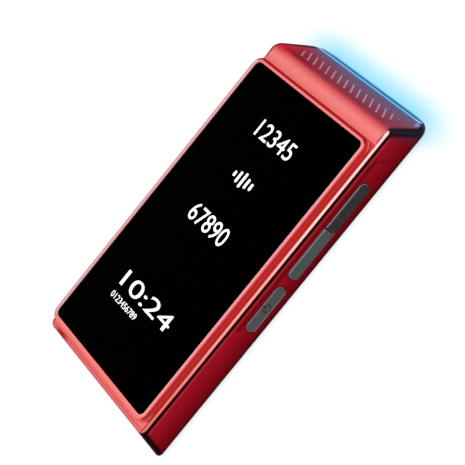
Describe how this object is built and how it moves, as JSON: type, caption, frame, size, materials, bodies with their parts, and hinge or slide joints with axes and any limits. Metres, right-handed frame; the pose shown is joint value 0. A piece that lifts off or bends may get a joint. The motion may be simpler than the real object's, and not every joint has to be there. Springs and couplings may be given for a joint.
{
  "type": "handheld translator",
  "caption": "Pocket translator slab: flush touch screen in a raised frame, slanted speaker end with a grille and light bar, and push keys in a scoop of the right side.",
  "frame": {"origin": "on the flat rear face, midway along and across the body's bounding box", "axes": "+X to the device's right side with the keys, +Y along the body to the slanted speaker end, +Z out of the screen"},
  "size_m": [0.0712, 0.1438, 0.0202],
  "materials": {
    "red_plastic": "moulded red plastic, satin gloss",
    "dark_red_plastic": "dark red moulded plastic, satin",
    "light_plastic": "translucent light guide plastic",
    "black_glass": "polished black cover glass",
    "panel_metal": "display panel with a metal back",
    "foam": "black adhesive foam",
    "steel": "stamped sheet steel",
    "screw_steel": "blackened steel",
    "circuit_board": "green laminate with solder mask",
    "battery_foil": "dark laminated pouch",
    "black_plastic": "black moulded plastic",
    "mesh_cloth": "fine woven acoustic mesh",
    "key_plastic": "dark grey moulded key plastic"
  },
  "bodies": {
    "device": {"front_housing": "red_plastic", "rear_cover": "dark_red_plastic", "light_bar": "light_plastic", "light_board": "circuit_board", "display_glass": "black_glass", "display_panel": "panel_metal", "display_gasket": "foam", "display_frame": "steel", "main_board": "circuit_board", "processor_shield": "steel", "radio_shield": "steel", "battery": "battery_foil", "battery_connector": "black_plastic", "cellular_antenna": "black_plastic", "lower_board": "circuit_board", "usb_c_socket": "steel", "left_microphone": "steel", "right_microphone": "steel", "speaker": "black_plastic", "speaker_mesh": "mesh_cloth", "camera_module": "black_plastic", "camera_window": "black_glass", "flash_lens": "light_plastic", "vibration_motor": "steel", "upper_translate_key_switch": "steel", "lower_translate_key_switch": "steel", "power_key_switch": "steel", "key_board": "circuit_board", "key_bracket": "steel", "screw_head_right": "screw_steel", "screw_head_left": "screw_steel", "screw_middle_right": "screw_steel", "screw_middle_left": "screw_steel", "screw_foot_right": "screw_steel", "screw_foot_left": "screw_steel"},
    "upper_translate_button": {"upper_translate_key": "key_plastic"},
    "lower_translate_button": {"lower_translate_key": "key_plastic"},
    "power_button": {"power_key": "key_plastic"}
  },
  "joints": [
    {"name": "upper_translate_press", "type": "slide", "parent": "device", "child": "upper_translate_button", "axis": [-1, 0, 0], "range_m": [0, 0.0003], "stiffness_N_per_m": 2000},
    {"name": "lower_translate_press", "type": "slide", "parent": "device", "child": "lower_translate_button", "axis": [-1, 0, 0], "range_m": [0, 0.0003], "stiffness_N_per_m": 2000},
    {"name": "power_press", "type": "slide", "parent": "device", "child": "power_button", "axis": [-1, 0, 0], "range_m": [0, 0.0003], "stiffness_N_per_m": 2000}
  ]
}
